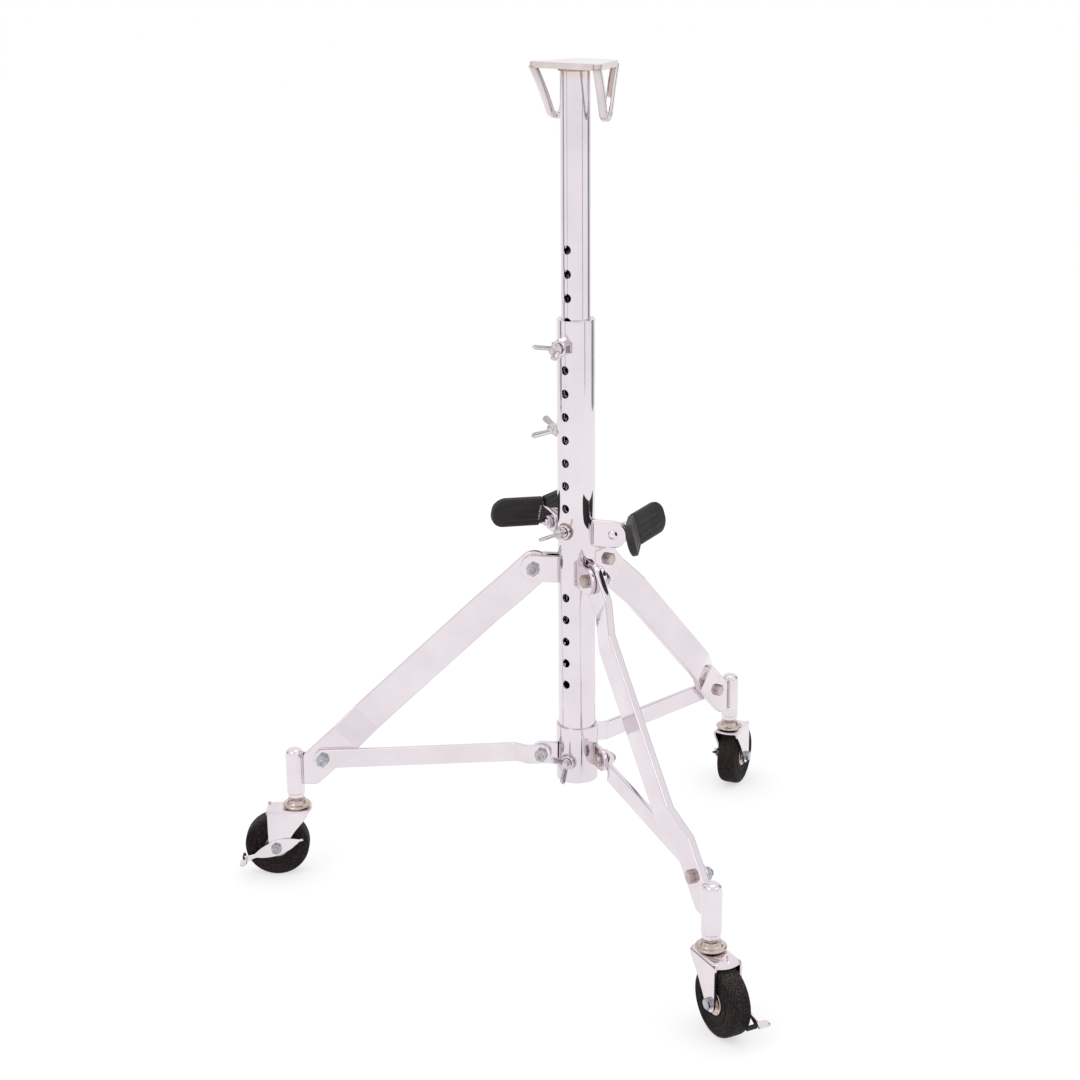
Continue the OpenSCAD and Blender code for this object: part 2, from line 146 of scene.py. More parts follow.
def plate(outline, spine, thick, edge=0.8, middle=None, crown=0.0):
    # the outline is carried inwards to a line of points, its spine, over a rounded edge; middle(x) is the face's
    # sideways place along X, crown lifts both faces towards the spine. Lies in X and Z, thickness along Y.
    a, b = np.asarray(spine[0], float), np.asarray(spine[1], float)
    t = np.clip(((outline - a) @ (b - a)) / max((b - a) @ (b - a), 1e-9), 0, 1)[:, None]
    foot = a + (b - a) * t
    out = outline - foot
    far = np.linalg.norm(out, axis=1, keepdims=True)
    th = np.radians(np.linspace(0, 90, 5))
    near = np.array([edge * 1.6])
    inset = np.concatenate([near, edge * (1 - np.sin(th)), edge * (1 - np.sin(th[::-1])), near])
    y = np.concatenate([[thick / 2], thick / 2 - edge * (1 - np.cos(th)),
                        -thick / 2 + edge * (1 - np.cos(th[::-1])), [-thick / 2]])
    keep = np.concatenate([[[0.0], [0.5]], np.full((len(inset), 1), -1.0), [[0.5], [0.0]]])
    full = np.concatenate([[0, 0], inset, [0, 0]])[:, None, None]
    share = np.where(keep[:, :, None] >= 0, keep[:, :, None], 1 - np.minimum(full / far, 1))
    flat = foot + out * share
    height = np.concatenate([[thick / 2 + crown, thick / 2 + crown * 0.7], y,
            [-thick / 2 - crown * 0.7, -thick / 2 - crown]])
    side = np.repeat(height[:, None], len(outline), 1)
    if middle is not None:
        side = side + middle(flat[..., 0])
    return np.stack([flat[..., 0], side, flat[..., 1]], -1), True


def swept(path, section, up, closed=False):
    # section (across, up) carried along a path; across is tangent x up, ends closed on the path
    p = np.asarray(path, float)
    d = (np.roll(p, -1, 0) - np.roll(p, 1, 0)) if closed else np.gradient(p, axis=0)
    d /= np.linalg.norm(d, axis=1, keepdims=True)
    u = np.broadcast_to(np.asarray(up, float), p.shape)
    w = np.cross(d, u)
    w /= np.linalg.norm(w, axis=1, keepdims=True)
    u = np.cross(w, d)
    s = np.asarray(section, float)
    s = s if s.ndim == 3 else np.broadcast_to(s, (len(p),) + s.shape)
    pts = p[:, None] + w[:, None] * s[..., :1] + u[:, None] * s[..., 1:]
    if closed:
        return np.concatenate([pts, pts[:1]]), True
    ends = np.repeat(p[[0, -1]][:, None], s.shape[1], 1)
    return np.concatenate([ends[:1], pts, ends[1:]]), True


def bead(path, radius, up=(0, 0, 1), closed=False, ripple=0.13, spacing=2.2):
    # weld bead: a round section whose radius swells and falls with the distance travelled
    p = np.asarray(path, float)
    run = np.concatenate([[0], np.cumsum(np.linalg.norm(np.diff(p, axis=0), axis=1))])
    r = radius * (1 + ripple * np.cos(2 * np.pi * run / spacing + 0.6 * np.sin(run)))
    if not closed:
        r = r * np.sqrt(np.clip(np.minimum(run, run[-1] - run) / radius / 1.2 + 0.08, 0, 1))
    a = np.linspace(0, 2 * np.pi, 12, endpoint=False)
    section = r[:, None, None] * np.stack([np.cos(a), np.sin(a)], -1)
    return swept(p, section, up, closed)


def uprightBead(x, y, low, high, count, radius):
    z = np.linspace(low, high, count)
    return bead(np.stack([np.full(count, x), np.full(count, y), z], -1), radius, (0, 1, 0))


def roundSection(width, height, corner, steps=4):
    w, h = width / 2, height / 2
    return filleted([(-w, -h), (w, -h), (w, h), (-w, h)], corner, steps)


def gridFaces(rows, cols, wrap):
    r, c = np.meshgrid(np.arange(rows - 1), np.arange(cols if wrap else cols - 1), indexing="ij")
    nextC = (c + 1) % cols
    return np.stack([r * cols + c, r * cols + nextC, (r + 1) * cols + nextC, (r + 1) * cols + c],
                    -1).reshape(-1, 4)


def build(name, surfaces, material, body, nodes=(), sharp=38, bevel=0, wall=0):
    # joins surfaces into one mesh, closes seams and poles, points faces outwards
    points, faces, count = [], [], 0
    for grid, wrap in surfaces:
        rows, cols = grid.shape[:2]
        faces.append(gridFaces(rows, cols, wrap) + count)
        points.append(grid.reshape(-1, 3))
        count += rows * cols
    mesh = bpy.data.meshes.new(name)
    mesh.from_pydata((np.concatenate(points) * 0.001).tolist(), [], np.concatenate(faces).tolist())
    bm = bmesh.new()
    bm.from_mesh(mesh)
    bmesh.ops.remove_doubles(bm, verts=bm.verts, dist=4e-6)
    bmesh.ops.dissolve_degenerate(bm, edges=bm.edges, dist=2e-6)
    bmesh.ops.recalc_face_normals(bm, faces=bm.faces)
    bm.to_mesh(mesh)
    bm.free()
    mesh.polygons.foreach_set("use_smooth", np.ones(len(mesh.polygons), bool))
    if sharp and not wall:
        mesh.set_sharp_from_angle(angle=math.radians(sharp))
    piece = bpy.data.objects.new(name, mesh)
    bpy.context.collection.objects.link(piece)
    mesh.materials.append(material)
    if wall:
        solid = piece.modifiers.new("wall", "SOLIDIFY")
        solid.thickness, solid.offset, solid.use_even_offset = wall * 0.001, -1, True
    if bevel:
        lip = piece.modifiers.new("lip", "BEVEL")
        lip.width, lip.segments, lip.limit_method, lip.angle_limit = bevel * 0.001, 3, "ANGLE", math.radians(50)
        lip.harden_normals = True
    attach(piece, body)
    if nodes:
        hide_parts(*nodes)
    return piece


def newGroup(name, ins, outs):
    tree = bpy.data.node_groups.new(name, "ShaderNodeTree")
    for label, default in ins:
        s = tree.interface.new_socket(label, in_out="INPUT", socket_type="NodeSocketFloat")
        s.default_value = default
    for label, kind in outs:
        tree.interface.new_socket(label, in_out="OUTPUT", socket_type=kind)
    return tree, tree.nodes.new("NodeGroupInput"), tree.nodes.new("NodeGroupOutput")


def node(tree, kind, links=(), **values):
    # values with a number or name of an input set that input; other names set the node's own settings
    n = tree.nodes.new(kind)
    for key, value in values.items():
        if hasattr(n, key):
            setattr(n, key, value)
        else:
            n.inputs[int(key[1:]) if key[0] == "i" and key[1:].isdigit() else key].default_value = value
    for target, source in dict(links).items():
        tree.links.new(source, n.inputs[target])
    return n


def remap(tree, value, low=0, high=1, toLow=0, toHigh=1):
    n = node(tree, "ShaderNodeMapRange", {"Value": value})
    for label, number in (("From Min", low), ("From Max", high), ("To Min", toLow), ("To Max", toHigh)):
        n.inputs[label].default_value = number
    return n.outputs[0]


def smudgeGroup():
    # Handling marks on plated metal: broad wiped patches, fine scuffs along one direction, and a faint ripple
    tree, gi, go = newGroup("handlingMarks", [("Scale", 1), ("Patch Size", 14), ("Scuff Size", 420),
            ("Ripple Size", 55)],
                            [("Patches", "NodeSocketFloat"), ("Scuffs", "NodeSocketFloat"),
                                    ("Ripple", "NodeSocketFloat")])
    coord = node(tree, "ShaderNodeTexCoord")
    size = node(tree, "ShaderNodeVectorMath", {0: coord.outputs["Object"], "Scale": gi.outputs["Scale"]},
                operation="SCALE")
    patch = node(tree, "ShaderNodeTexNoise", {"Vector": size.outputs[0], "Scale": gi.outputs["Patch Size"]},
                 Detail=4, Roughness=0.55)
    soft = remap(tree, patch.outputs["Fac"], low=0.38, high=0.68)
    stretch = node(tree, "ShaderNodeMapping", {"Vector": size.outputs[0]}, Scale=(1, 1, 0.12),
                   Rotation=(0.3, 0.2, 0))
    scuff = node(tree, "ShaderNodeTexNoise", {"Vector": stretch.outputs[0],
            "Scale": gi.outputs["Scuff Size"]}, Detail=3, Roughness=0.7)
    fine = remap(tree, scuff.outputs["Fac"], low=0.55, high=0.8)
    ripple = node(tree, "ShaderNodeTexNoise", {"Vector": size.outputs[0], "Scale": gi.outputs["Ripple Size"]},
                  Detail=1)
    tree.links.new(soft, go.inputs["Patches"])
    tree.links.new(fine, go.inputs["Scuffs"])
    tree.links.new(ripple.outputs["Fac"], go.inputs["Ripple"])
    return tree


def dustGroup():
    # Dust that settles where a face looks up, broken up by noise
    tree, gi, go = newGroup("settledDust", [("Amount", 0.3), ("Grain", 900)], [("Mask", "NodeSocketFloat")])
    geo = node(tree, "ShaderNodeNewGeometry")
    axes = node(tree, "ShaderNodeSeparateXYZ", {0: geo.outputs["Normal"]})
    up = remap(tree, axes.outputs["Z"], low=0.25, high=1.0)
    coord = node(tree, "ShaderNodeTexCoord")
    speck = node(tree, "ShaderNodeTexNoise", {"Vector": coord.outputs["Object"],
            "Scale": gi.outputs["Grain"]}, Detail=2)
    broken = remap(tree, speck.outputs["Fac"], low=0.45, high=0.7)
    both = node(tree, "ShaderNodeMath", {0: up, 1: broken}, operation="MULTIPLY")
    out = node(tree, "ShaderNodeMath", {0: both.outputs[0], 1: gi.outputs["Amount"]}, operation="MULTIPLY")
    tree.links.new(out.outputs[0], go.inputs["Mask"])
    return tree


handlingMarks = smudgeGroup()
settledDust = dustGroup()


def mixed(tree, fac, a, b):
    # colour a turning to colour b by a mask
    n = node(tree, "ShaderNodeMix", data_type="RGBA")
    tree.links.new(fac, n.inputs["Factor"])
    for value, slotIndex in ((a, 6), (b, 7)):
        if isinstance(value, tuple):
            n.inputs[slotIndex].default_value = (*value, 1)
        else:
            tree.links.new(value, n.inputs[slotIndex])
    return n.outputs[2]


def metalMaterial(name, colour, worn, rough, roughWorn, bump=0.02, patchSize=14, dust=0.12, tint=None,
                  paintedEdgeShade=0.5):
    # last argument: painted shade, how far edges and creases darken, found from how pointed the surface is;
    # these dark lines stand in for dark reflections along them
    # tint: (colour, heights in metres over which heat has coloured the plate, from none to full)
    mat = bpy.data.materials.new(name)
    mat.use_nodes = True
    t = mat.node_tree
    shader = t.nodes["Principled BSDF"]
    marks = node(t, "ShaderNodeGroup", node_tree=handlingMarks)
    marks.inputs["Patch Size"].default_value = patchSize
    dusty = node(t, "ShaderNodeGroup", node_tree=settledDust)
    dusty.inputs["Amount"].default_value = dust
    base = mixed(t, marks.outputs["Patches"], colour, worn)
    base = mixed(t, dusty.outputs["Mask"], base, (0.62, 0.6, 0.58))
    if tint:
        coord = node(t, "ShaderNodeTexCoord")
        axes = node(t, "ShaderNodeSeparateXYZ", {0: coord.outputs["Object"]})
        near = remap(t, axes.outputs["Z"], low=tint[1][0], high=tint[1][1])
        ragged = node(t, "ShaderNodeMath", {0: near, 1: marks.outputs["Ripple"]}, operation="MULTIPLY")
        base = mixed(t, ragged.outputs[0], base, tint[0])
    # painted shade: edges and creases are darkened in the base colour by how pointed the surface is, standing in
    # for the dark reflections along them
    geo = node(t, "ShaderNodeNewGeometry")
    off = node(t, "ShaderNodeMath", {0: geo.outputs["Pointiness"]}, operation="SUBTRACT", i1=0.5)
    off = node(t, "ShaderNodeMath", {0: off.outputs[0]}, operation="ABSOLUTE")
    edges = remap(t, off.outputs[0], low=0.015, high=0.09, toHigh=paintedEdgeShade)
    base = mixed(t, edges, base, (0.26, 0.23, 0.27))
    t.links.new(base, shader.inputs["Base Color"])
    shader.inputs["Metallic"].default_value = 1
    spread = remap(t, marks.outputs["Patches"], toLow=rough, toHigh=roughWorn)
    scuffed = node(t, "ShaderNodeMath", {0: marks.outputs["Scuffs"], 2: spread}, operation="MULTIPLY_ADD",
                   i1=0.06)
    t.links.new(scuffed.outputs[0], shader.inputs["Roughness"])
    lift = node(t, "ShaderNodeBump", {"Height": marks.outputs["Ripple"]}, Strength=bump, Distance=0.001)
    t.links.new(lift.outputs[0], shader.inputs["Normal"])
    return mat


def rubberMaterial(name, colour, pale, rough, grain, bump, dust, specks=0.0, gloss=0.25):
    mat = bpy.data.materials.new(name)
    mat.use_nodes = True
    t = mat.node_tree
    shader = t.nodes["Principled BSDF"]
    coord = node(t, "ShaderNodeTexCoord")
    broad = node(t, "ShaderNodeTexNoise", {"Vector": coord.outputs["Object"]}, Scale=32, Detail=4)
    fine = node(t, "ShaderNodeTexNoise", {"Vector": coord.outputs["Object"]}, Scale=grain, Detail=3)
    spread = remap(t, broad.outputs["Fac"], low=0.35, high=0.7)
    base = mixed(t, spread, colour, pale)
    dusty = node(t, "ShaderNodeGroup", node_tree=settledDust)
    dusty.inputs["Amount"].default_value = dust
    base = mixed(t, dusty.outputs["Mask"], base, (0.3, 0.28, 0.27))
    if specks:
        grit = node(t, "ShaderNodeTexNoise", {"Vector": coord.outputs["Object"]}, Scale=1500, Detail=1)
        spots = remap(t, grit.outputs["Fac"], low=0.64, high=0.72, toHigh=specks)
        base = mixed(t, spots, base, (0.42, 0.33, 0.31))
    t.links.new(base, shader.inputs["Base Color"])
    shader.inputs["Specular IOR Level"].default_value = gloss
    vary = remap(t, fine.outputs["Fac"], toLow=rough - 0.08, toHigh=rough + 0.12)
    t.links.new(vary, shader.inputs["Roughness"])
    lift = node(t, "ShaderNodeBump", {"Height": fine.outputs["Fac"]}, Strength=bump, Distance=0.0006)
    t.links.new(lift.outputs[0], shader.inputs["Normal"])
    return mat


chrome = metalMaterial("brightChrome", (0.795, 0.73, 0.77), (0.73, 0.665, 0.71), 0.035, 0.085)
chromeHead = metalMaterial("headWeldChrome", (0.76, 0.70, 0.72), (0.66, 0.60, 0.61), 0.07, 0.17, 0.05,
                           tint=((0.66, 0.57, 0.52), (0.908, 0.9185)))
chromeTube = metalMaterial("tubeChrome", (0.79, 0.73, 0.77), (0.73, 0.665, 0.71), 0.03, 0.08,
                           tint=((0.66, 0.46, 0.30), (0.907, 0.9185)))
castChrome = metalMaterial("castChrome", (0.68, 0.64, 0.67), (0.58, 0.54, 0.56), 0.1, 0.22, 0.06, 40)
weldChrome = metalMaterial("weldBead", (0.72, 0.67, 0.69), (0.6, 0.53, 0.52), 0.1, 0.24, 0.2, 90)
burntWeld = metalMaterial("burntWeldBead", (0.50, 0.37, 0.27), (0.36, 0.27, 0.22), 0.3, 0.5, 0.4, 90)
# the zinc plates carry stronger painted shade along their edges and creases
yellowZinc = metalMaterial("yellowZincPlate", (0.62, 0.53, 0.49), (0.46, 0.37, 0.32), 0.12, 0.26, 0.06, 60,
        paintedEdgeShade=0.75)
whiteZinc = metalMaterial("blueWhiteZincPlate", (0.54, 0.56, 0.61), (0.40, 0.42, 0.46), 0.12, 0.26, 0.06, 60,
                          paintedEdgeShade=0.75)
sleeveRubber = rubberMaterial("sleeveRubber", (0.018, 0.017, 0.017), (0.034, 0.029, 0.029), 0.5, 700, 0.25,
        0.12)
endRubber = rubberMaterial("sleeveEndRubber", (0.006, 0.006, 0.006), (0.012, 0.012, 0.012), 0.6, 700, 0.25,
        0.05)
tyreRubber = rubberMaterial("tyreRubber", (0.007, 0.005, 0.0055), (0.018, 0.012, 0.013), 0.6, 520, 0.35, 0.3,
        0.4, gloss=0.08)
print("materials ready")

mast = {"od": 41.3, "top": 661.0, "foot": 140.0, "wall": 2.4, "holeAz": -120.0, "holeR": 4.75, "pitch": 25.4,
        "pinZ": 633.5}
upper = {"od": 31.75, "top": 918.5, "foot": 400.0, "wall": 1.87, "bushL": 48.0}


def drilledTube(radius, low, high, holes, pinZ, pitch, holeR, azimuth, side=8, rings=6):
    # The wall is cut into cells one pitch high. A cell with a hole runs from the hole's circle out to the cell's
    # square; a plain cell is a grid. Across is an arc length that wraps to an angle, arc / radius.
    half = pitch / 2
    run, rim = np.linspace(-half, half, side, endpoint=False), np.full(side, half)
    square = np.concatenate([np.stack(p, -1) for p in ((run, -rim), (rim, run), (-run, rim), (-rim, -run))])
    a = np.arctan2(square[:, 1], square[:, 0])
    circle = np.stack([radius * np.arcsin(holeR * np.cos(a) / radius), holeR * np.sin(a)], -1)
    t = (np.linspace(0, 1, rings) ** 1.2)[:, None, None]
    cell = circle * (1 - t) + square * t
    first = int(math.floor((low - pinZ) / pitch + 0.5))
    last = int(math.ceil((high - pinZ) / pitch - 0.5))
    edges = np.clip(pinZ + (np.arange(first, last + 2) - 0.5) * pitch, low, high)

    def wrapTo(arcs, z):
        ang = np.radians(azimuth) + arcs / radius
        return np.stack([radius * np.cos(ang), radius * np.sin(ang), z], -1)

    surfaces = []
    fullTurn = 2 * np.pi * radius
    for k, (z0, z1) in enumerate(zip(edges[:-1], edges[1:])):
        if z1 - z0 < 0.5:
            continue
        steps = max(1, round((z1 - z0) / pitch * side))
        z = np.linspace(z0, z1, steps + 1)
        for face, start in ((0, 0), (1, fullTurn / 2)):
            if z1 - z0 > pitch - 0.01 and (first + k, face) in holes:
                surfaces.append((wrapTo(cell[..., 0] + start, cell[..., 1] + pinZ + (first + k) * pitch), True))
            else:
                aa, zz = np.meshgrid(start + np.linspace(-half, half, side + 1), z)
                surfaces.append((wrapTo(aa, zz), False))
            aa, zz = np.meshgrid(start + np.linspace(half, fullTurn / 2 - half, 2 * side + 1), z)
            surfaces.append((wrapTo(aa, zz), False))
    return surfaces


def bothFaces(levels):
    return {(k, face) for k in levels for face in (0, 1)}


lowerHoles = bothFaces(list(range(-7, 1)) + list(range(-15, -10))) | {(-8, 0)}
build("lowerTube", drilledTube(mast["od"] / 2, mast["foot"], mast["top"], lowerHoles, mast["pinZ"],
        mast["pitch"],
                               mast["holeR"], mast["holeAz"]), chromeTube, "base", ["outer_mast"],
                               wall=mast["wall"], bevel=0.5)
upperHoles = bothFaces(range(-7, 5))
build("upperTube", drilledTube(upper["od"] / 2, upper["foot"], upper["top"], upperHoles, mast["pinZ"],
        mast["pitch"],
                               mast["holeR"], mast["holeAz"]), chromeTube, "upper_mast",
                               ["inner_mast"], wall=upper["wall"], bevel=0.4)
bushOut, bushIn, bushTop = mast["od"] / 2 - mast["wall"] + 0.02, upper["od"] / 2 + 0.06, mast["top"] - 0.3
ringProfile = filleted([(bushIn, bushTop - upper["bushL"]), (bushOut, bushTop - upper["bushL"]),
                        (bushOut, bushTop),
                        (bushIn, bushTop)], [0.3, 0.3, 0.5, 0.9])
build("guideBush", [ringed(ringProfile, 96)], chrome, "base", ["guide_bush"])
print("mast tubes ready")


def bent(stations, soft=3.0):
    # sideways place along a bar: straight runs between stations, each bend averaged over a short length
    xs, ys = np.array(stations, float).T
    spread = np.linspace(-soft, soft, 7)

    def middle(x):
        return np.mean([np.interp(x + s, xs, ys) for s in spread], axis=0)
    return middle


def roundEnded(inner, outer, height, radius):
    # tab outline: square at the inner end, round at the outer
    return np.concatenate([[(inner, -height)], arc((outer, 0), radius, -90, 90, 28), [(inner, height)]])


tripod = {"hip": (46.8, 383.6), "foot": (291.5, 146.0), "lug": (38.1, 168.5), "legW": 37.0, "legT": 8.0,
          "strutW": 22.0,
          "strutT": 5.0, "tabT": 5.0, "play": 0.4, "stemR": 327.0, "hipTabR": 15.0, "collarOd": 47.0,
          "collarZ": (136.0, 201.0)}
boltDims = {"across": 12.7, "head": 5.3, "r": 4.0}
hipR, hipZ = tripod["hip"]
footR, footZ = tripod["foot"]
lugR, lugZ = tripod["lug"]
legLen = math.hypot(footR - hipR, hipZ - footZ)
legSlope = math.degrees(math.atan2(hipZ - footZ, footR - hipR))
strutLen = math.hypot(footR - lugR, lugZ - footZ)
strutSlope = math.degrees(math.atan2(lugZ - footZ, footR - lugR))
strutY = legCentre + tripod["legT"] / 2 + tripod["play"]
lugY = 10.5
strutInY = lugY + tripod["tabT"] + 0.3


def stations(low, high, bends, spacing=3.0):
    # places along a bar, with one on each side of every bend so that the crease runs straight across
    xs = np.concatenate([np.linspace(low, high, max(2, int(abs(high - low) / spacing) + 1))]
                        + [np.array([b - 0.9, b, b + 0.9]) for b in bends])
    xs = np.unique(np.round(xs[(xs >= min(low, high)) & (xs <= max(low, high))], 3))
    return xs if high > low else xs[::-1]


def legOutline(cutR, cutZ):
    # stadium end round the hip bolt, straight edges, cut upright along the stem and level at the foot
    s, c = math.sin(math.radians(legSlope)), math.cos(math.radians(legSlope))
    w = tripod["legW"] / 2
    topEnd = ((cutR - hipR - w * s) / c, w)
    dx, dz = cutR - hipR, cutZ - hipZ
    corner = (dx * c - dz * s, dx * s + dz * c)
    bottomEnd = ((hipZ - cutZ - w * c) / s, -w)
    foot = filleted([(0, -w), bottomEnd, corner, topEnd, (0, w)], [0, 5, 0.6, 1.0, 0], 5, closed=False)[5:-5]
    below, above = stations(0, foot[0, 0], legBends), stations(foot[-1, 0], 0, legBends)
    return np.concatenate([arc((0, 0), w, 90, 270, 30), np.stack([below, np.full(len(below), -w)], -1)[1:-1],
            resampled(foot, 4)[:-18],
                           np.stack([above, np.full(len(above), w)], -1)[:-1]])


legBends = (35, 75, legLen - 70, legLen - 35)
legEdge = legOutline(tripod["stemR"] - 9.6, 112.0)
legBend = bent([(-30, 0), (35, 0), (75, -9), (legLen - 70, -9), (legLen - 35, legCentre),
                (legLen + 90, legCentre)], 0.9)
strutBend = bent([(-20, strutInY + 2.5), (16, strutInY + 2.5), (30, strutY + 2.5),
                  (strutLen + 20, strutY + 2.5)], 1.6)
strutR = tripod["strutW"] / 2
strutEdge = resampled(np.concatenate([arc((0, 0), strutR, 90, 270, 28),
        arc((strutLen, 0), strutR, -90, 90, 28)]), 3)


def hexBolt(faceY, reach, tipFrom=None, twist=0):
    # head outside a face at faceY on the clockwise side, shank running to reach
    head = through(hexHead(boltDims["across"], boltDims["head"], twist=twist)[0],
                   shift(0, faceY, 0) @ turn("x", 90))
    rod = rodAlong(boltDims["r"] - 0.02, faceY, tipFrom or reach)[0]
    parts = [(head, True), (through(rod, zToY), True)]
    if tipFrom:
        parts.append((through(threaded(boltDims["r"] - 0.05, tipFrom - 1, reach)[0], zToY), True))
    return parts


def hexNut(faceY, thick, twist=0):
    return [(through(hexHead(boltDims["across"], thick, 0.9, twist=twist)[0], shift(0, faceY, 0) @ zToY), True)]


def stood(surfaces, matrix):
    return [(through(grid, matrix), wrap) for grid, wrap in surfaces]


def stemParts():
    d = 10.5
    body = filleted([(0, 155), (4.5, 155), (9.2, 152.6), (d, 147), (d, 100.6), (9.7, 100), (9.7, 95.5),
                     (5.0, 95.2), (5.0, 79.2),
                     (7, 78.6), (7, 75.4), (0, 75)], [0, 3, 3, 3, 0.5, 0.4, 0.5, 0.4, 0.3, 0.4, 1.2, 0], 5,
                     closed=False)
    return [turned(body, 64)]


for side, (az, _) in legSides.items():
    legTo = at(az, hipR, 0, hipZ) @ turn("y", legSlope)
    legPlate = plate(legEdge, ((0, 0), (legLen + 8, 0)), tripod["legT"], 1.3, legBend)
    build(f"legBar_{side}", stood([legPlate], legTo), chrome, f"leg_{side}", [f"leg_{side}"],
          sharp=60)
    stemTo = at(az, tripod["stemR"], legCentre, 0)
    build(f"casterStem_{side}", stood(stemParts(), stemTo), chrome, f"leg_{side}",
          [f"caster_stem_{side}"], sharp=50)
    seam = []
    for edgeY in (-1, 1):
        y = edgeY * (tripod["legT"] / 2 + 0.6)
        seam.append(uprightBead(-math.sqrt(10.5**2 - y * y) - 0.3, y, 113, 149.5, 60, 1.5))
    build(f"stemWeld_{side}", stood(seam, stemTo), weldChrome, f"leg_{side}")
    footTo = at(az, footR, 0, footZ)
    build(f"footBolt_{side}", stood(hexBolt(legCentre - tripod["legT"] / 2,
            legCentre + tripod["legT"] / 2 + 0.15, twist=9), footTo),
          yellowZinc, f"leg_{side}", [f"foot_bolt_{side}"])
    nutFace = strutY + tripod["strutT"]
    tip = rodAlong(3.98, strutY - 0.15, nutFace)[0]
    build(f"footNut_{side}", stood([(through(tip, zToY), True),
            (through(threaded(3.95, nutFace, nutFace + 9.5)[0], zToY), True)]
          + hexNut(nutFace, 6.3, 17), footTo), whiteZinc, f"strut_{side}", [f"foot_nut_{side}"])
    strutTo = at(az, lugR, 0, lugZ) @ turn("y", strutSlope)
    build(f"strutBar_{side}", stood([plate(strutEdge, ((0, 0), (strutLen, 0)), tripod["strutT"], 0.9,
            strutBend)], strutTo),
          chrome, f"strut_{side}", [f"strut_{side}"], sharp=60)

tabParts, tabWelds, hipBolts, hipNuts, lugParts, lugWelds, lugBolts, lugNuts = ([] for _ in range(8))
hipFace = tripod["legT"] / 2 + tripod["play"] + tripod["tabT"]
hipEdge = resampled(roundEnded(16.5, hipR, tripod["hipTabR"], tripod["hipTabR"]), 4)
lugEdge = resampled(roundEnded(20.0, lugR, 13, 13), 4)
for side, (az, _) in legSides.items():
    for sign in (-1, 1):
        y = sign * (hipFace - tripod["tabT"] / 2)
        tabParts += stood([plate(hipEdge, ((24, 0), (hipR, 0)), tripod["tabT"], 0.8)], at(az, 0, y, hipZ))
        outY = sign * (hipFace + 0.5)
        x = math.sqrt((mast["od"] / 2) ** 2 - outY**2) + 0.4
        tabWelds += stood([uprightBead(x, outY, hipZ - 14, hipZ + 14, 50, 1.4)], turn("z", az))
    hipBolts += stood(hexBolt(-hipFace, hipFace + 9, hipFace + 1, 13), at(az, hipR, 0, hipZ))
    hipNuts += stood(hexNut(hipFace, 6.3, 21), at(az, hipR, 0, hipZ))
    lugParts += stood([plate(lugEdge, ((25, 0), (lugR, 0)), tripod["tabT"], 0.8)],
                      at(az, 0, lugY + tripod["tabT"] / 2, lugZ))
    for y in (lugY - 0.6, lugY + tripod["tabT"] + 0.6):
        x = math.sqrt((tripod["collarOd"] / 2) ** 2 - y * y) + 0.3
        lugWelds += stood([uprightBead(x, y, lugZ - 12, lugZ + 12, 44, 1.2)], turn("z", az))
    outFace = strutInY + tripod["strutT"] + 0.3
    lugBolts += stood(hexBolt(lugY, outFace + 8.2, outFace, 5), at(az, lugR, 0, lugZ))
    lugNuts += stood(hexNut(outFace, 5.3, 10), at(az, lugR, 0, lugZ))
build("hipBrackets", tabParts, chrome, "base", ["leg_brackets"])
build("hipBracketWelds", tabWelds, weldChrome, "base")
build("hipBolts", hipBolts, yellowZinc, "base", ["leg_pivot_bolts"])
build("hipNuts", hipNuts, whiteZinc, "base", ["leg_pivot_nuts"])
build("collarLugs", lugParts, chrome, "collar", ["collar_lugs"])
build("collarLugWelds", lugWelds, weldChrome, "collar")
build("collarBolts", lugBolts, yellowZinc, "collar", ["collar_pivot_bolts"])
build("collarNuts", lugNuts, whiteZinc, "collar", ["collar_pivot_nuts"])
collarIn, collarOut = mast["od"] / 2 + 0.08, tripod["collarOd"] / 2
low, high = tripod["collarZ"]
sleeve = filleted([(collarIn, low), (collarOut, low), (collarOut, high), (collarIn, high)],
                  [0.8, 1.0, 1.0, 0.8])
build("collarSleeve", [ringed(sleeve, 96)], chrome, "collar", ["collar_sleeve"])
print("tripod ready")

boss = {"across": 18.0, "seamR": 8.6}
# each screw: body, azimuth, where its tip starts, height, length, turn of the wings
screws = {"height_screw": ("base", -120, 16.235, 633.5, 17.215, -70),
          "lock_screw": ("base", 151, 16.225, 536, 10.425, -55),
          "index_screw": ("base", -120, 16.225, 430.3, 9.425, 70),
          "collar_screw": ("collar", -108, 21.0, 162, 8.5, -25)}


def wingScrew(length):
    # threaded shank along X, turned hub, and two flat paddles that thicken towards their ends
    hub = filleted([(0, length), (6.3, length), (6.5, length + 1), (5.5, length + 9), (0, length + 9)],
                   [0, 0.6, 0.6, 1.6, 0], 5, closed=False)
    parts = stood([threaded(3.98, 0, length + 0.5, tip=0.5), turned(hub, 40)], zToX)
    a, b, ra, rb = np.array([length + 4.2, 3.5]), np.array([length + 21, 12.5]), 3.0, 3.9
    along = math.degrees(math.atan2(b[1] - a[1], b[0] - a[0]))
    lean = math.degrees(math.asin((rb - ra) / np.linalg.norm(b - a)))
    edge = resampled(np.concatenate([arc(a, ra, along + 90 + lean, along + 270 - lean, 16),
            arc(b, rb, along - 90 - lean, along + 90 + lean, 20)]), 2)
    for sign in (-1, 1):
        parts.append(plate(edge * (1, sign), (a * (1, sign), b * (1, sign)), 3.0, 1.3, crown=0.5))
    return parts


